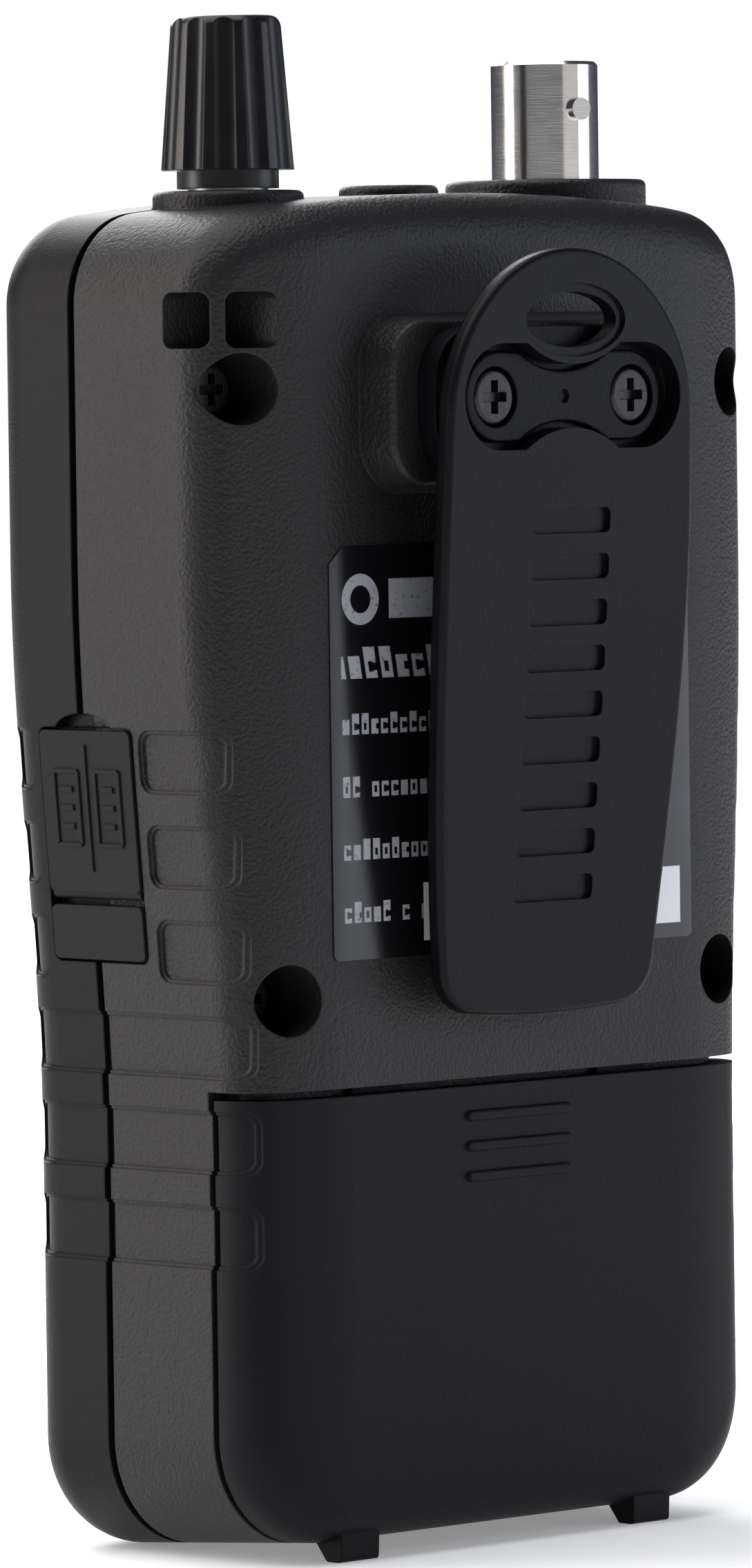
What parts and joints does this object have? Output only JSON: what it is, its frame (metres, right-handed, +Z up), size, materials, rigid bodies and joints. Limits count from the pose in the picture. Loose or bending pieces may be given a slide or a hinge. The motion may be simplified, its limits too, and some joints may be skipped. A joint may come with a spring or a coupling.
{
  "type": "handheld radio scanner",
  "caption": "Handheld scanning radio receiver with display, keypad, fluted volume knob, bayonet aerial socket, belt clip, sliding battery door and hinged port cover.",
  "frame": {"origin": "on the ground plane, under the middle of the whole object's bounding box", "axes": "+Z up along the body, -Y out of the display and keys, +Y out of the belt clip, +X towards the volume knob and port cover"},
  "size_m": [0.067, 0.0404, 0.1338],
  "materials": {
    "case_front": "fine spark-eroded texture",
    "case_rear": "leather-like spark-eroded texture",
    "door": "fine matt texture",
    "cover_rubber": "matt",
    "clip": "satin with fine texture",
    "black_screw": "black oxide",
    "knob": "satin gloss",
    "control_metal": "plated",
    "nickel": "bright nickel plate",
    "insulator": "smooth",
    "gold": "gold flash",
    "tinplate": "tinned",
    "black_moulding": "moulded",
    "board": "solder mask",
    "chip": "moulded",
    "capacitor": "sleeved can",
    "dome_steel": "spring temper",
    "window": "clear smoke acrylic",
    "display": "liquid crystal panel",
    "speaker_metal": "coated",
    "cloth": "woven",
    "cell_wrap": "printed sleeve",
    "label": "gloss black film",
    "key_rubber": "matt"
  },
  "bodies": {
    "case": {"front_shell": "case_front", "rear_shell": "case_rear", "port_cover_anchor": "cover_rubber", "clip_base": "clip", "clip_screws": "black_screw", "case_screws": "black_screw", "volume_control": "control_metal", "aerial_socket": "nickel", "aerial_insulator": "insulator", "aerial_contact": "gold", "aerial_bracket": "tinplate", "headphone_jack": "black_moulding", "usb_socket": "tinplate", "main_board": "board", "board_chips": "chip", "capacitors": "capacitor", "rf_shields": "tinplate", "board_link": "black_moulding", "key_board": "board", "key_domes": "dome_steel", "display_window": "window", "display_module": "display", "speaker": "speaker_metal", "speaker_cloth": "cloth", "battery_cells": "cell_wrap", "battery_contacts": "dome_steel", "rating_label": "label"},
    "volume_knob": {"volume_knob": "knob"},
    "port_flap": {"port_flap": "cover_rubber"},
    "belt_clip": {"belt_clip": "clip"},
    "battery_door": {"battery_door": "door"},
    "key_1_1": {"key_1_1": "key_rubber"},
    "key_1_2": {"key_1_2": "key_rubber"},
    "key_1_3": {"key_1_3": "key_rubber"},
    "key_1_4": {"key_1_4": "key_rubber"},
    "key_2_1": {"key_2_1": "key_rubber"},
    "key_2_2": {"key_2_2": "key_rubber"},
    "key_2_3": {"key_2_3": "key_rubber"},
    "key_2_4": {"key_2_4": "key_rubber"},
    "key_3_1": {"key_3_1": "key_rubber"},
    "key_3_2": {"key_3_2": "key_rubber"},
    "key_3_3": {"key_3_3": "key_rubber"},
    "key_3_4": {"key_3_4": "key_rubber"},
    "key_4_1": {"key_4_1": "key_rubber"},
    "key_4_2": {"key_4_2": "key_rubber"},
    "key_4_3": {"key_4_3": "key_rubber"},
    "key_4_4": {"key_4_4": "key_rubber"},
    "key_5_1": {"key_5_1": "key_rubber"},
    "key_5_2": {"key_5_2": "key_rubber"},
    "key_5_3": {"key_5_3": "key_rubber"},
    "key_5_4": {"key_5_4": "key_rubber"}
  },
  "joints": [
    {"name": "volume_turn", "type": "hinge", "parent": "case", "child": "volume_knob", "pos_m": [0.0176, -0.00465, 0.12], "axis": [0, 0, 1], "range_deg": [-150, 150]},
    {"name": "port_flap_bend", "type": "hinge", "parent": "case", "child": "port_flap", "pos_m": [0.0313, -0.0073, 0.05805], "axis": [0, 1, 0], "range_deg": [0, 105], "stiffness_Nm_per_rad": 0.002},
    {"name": "clip_flex", "type": "hinge", "parent": "case", "child": "belt_clip", "pos_m": [0, 0.01835, 0.1066], "axis": [1, 0, 0], "range_deg": [0, 9], "stiffness_Nm_per_rad": 3.5},
    {"name": "door_slide", "type": "slide", "parent": "case", "child": "battery_door", "axis": [0, 0, -1], "range_m": [0, 0.008]},
    {"name": "key_1_1_press", "type": "slide", "parent": "case", "child": "key_1_1", "axis": [0, 1, 0], "range_m": [0, 0.0007], "stiffness_N_per_m": 2000},
    {"name": "key_1_2_press", "type": "slide", "parent": "case", "child": "key_1_2", "axis": [0, 1, 0], "range_m": [0, 0.0007], "stiffness_N_per_m": 2000},
    {"name": "key_1_3_press", "type": "slide", "parent": "case", "child": "key_1_3", "axis": [0, 1, 0], "range_m": [0, 0.0007], "stiffness_N_per_m": 2000},
    {"name": "key_1_4_press", "type": "slide", "parent": "case", "child": "key_1_4", "axis": [0, 1, 0], "range_m": [0, 0.0007], "stiffness_N_per_m": 2000},
    {"name": "key_2_1_press", "type": "slide", "parent": "case", "child": "key_2_1", "axis": [0, 1, 0], "range_m": [0, 0.0007], "stiffness_N_per_m": 2000},
    {"name": "key_2_2_press", "type": "slide", "parent": "case", "child": "key_2_2", "axis": [0, 1, 0], "range_m": [0, 0.0007], "stiffness_N_per_m": 2000},
    {"name": "key_2_3_press", "type": "slide", "parent": "case", "child": "key_2_3", "axis": [0, 1, 0], "range_m": [0, 0.0007], "stiffness_N_per_m": 2000},
    {"name": "key_2_4_press", "type": "slide", "parent": "case", "child": "key_2_4", "axis": [0, 1, 0], "range_m": [0, 0.0007], "stiffness_N_per_m": 2000},
    {"name": "key_3_1_press", "type": "slide", "parent": "case", "child": "key_3_1", "axis": [0, 1, 0], "range_m": [0, 0.0007], "stiffness_N_per_m": 2000},
    {"name": "key_3_2_press", "type": "slide", "parent": "case", "child": "key_3_2", "axis": [0, 1, 0], "range_m": [0, 0.0007], "stiffness_N_per_m": 2000},
    {"name": "key_3_3_press", "type": "slide", "parent": "case", "child": "key_3_3", "axis": [0, 1, 0], "range_m": [0, 0.0007], "stiffness_N_per_m": 2000},
    {"name": "key_3_4_press", "type": "slide", "parent": "case", "child": "key_3_4", "axis": [0, 1, 0], "range_m": [0, 0.0007], "stiffness_N_per_m": 2000},
    {"name": "key_4_1_press", "type": "slide", "parent": "case", "child": "key_4_1", "axis": [0, 1, 0], "range_m": [0, 0.0007], "stiffness_N_per_m": 2000},
    {"name": "key_4_2_press", "type": "slide", "parent": "case", "child": "key_4_2", "axis": [0, 1, 0], "range_m": [0, 0.0007], "stiffness_N_per_m": 2000},
    {"name": "key_4_3_press", "type": "slide", "parent": "case", "child": "key_4_3", "axis": [0, 1, 0], "range_m": [0, 0.0007], "stiffness_N_per_m": 2000},
    {"name": "key_4_4_press", "type": "slide", "parent": "case", "child": "key_4_4", "axis": [0, 1, 0], "range_m": [0, 0.0007], "stiffness_N_per_m": 2000},
    {"name": "key_5_1_press", "type": "slide", "parent": "case", "child": "key_5_1", "axis": [0, 1, 0], "range_m": [0, 0.0007], "stiffness_N_per_m": 2000},
    {"name": "key_5_2_press", "type": "slide", "parent": "case", "child": "key_5_2", "axis": [0, 1, 0], "range_m": [0, 0.0007], "stiffness_N_per_m": 2000},
    {"name": "key_5_3_press", "type": "slide", "parent": "case", "child": "key_5_3", "axis": [0, 1, 0], "range_m": [0, 0.0007], "stiffness_N_per_m": 2000},
    {"name": "key_5_4_press", "type": "slide", "parent": "case", "child": "key_5_4", "axis": [0, 1, 0], "range_m": [0, 0.0007], "stiffness_N_per_m": 2000}
  ]
}
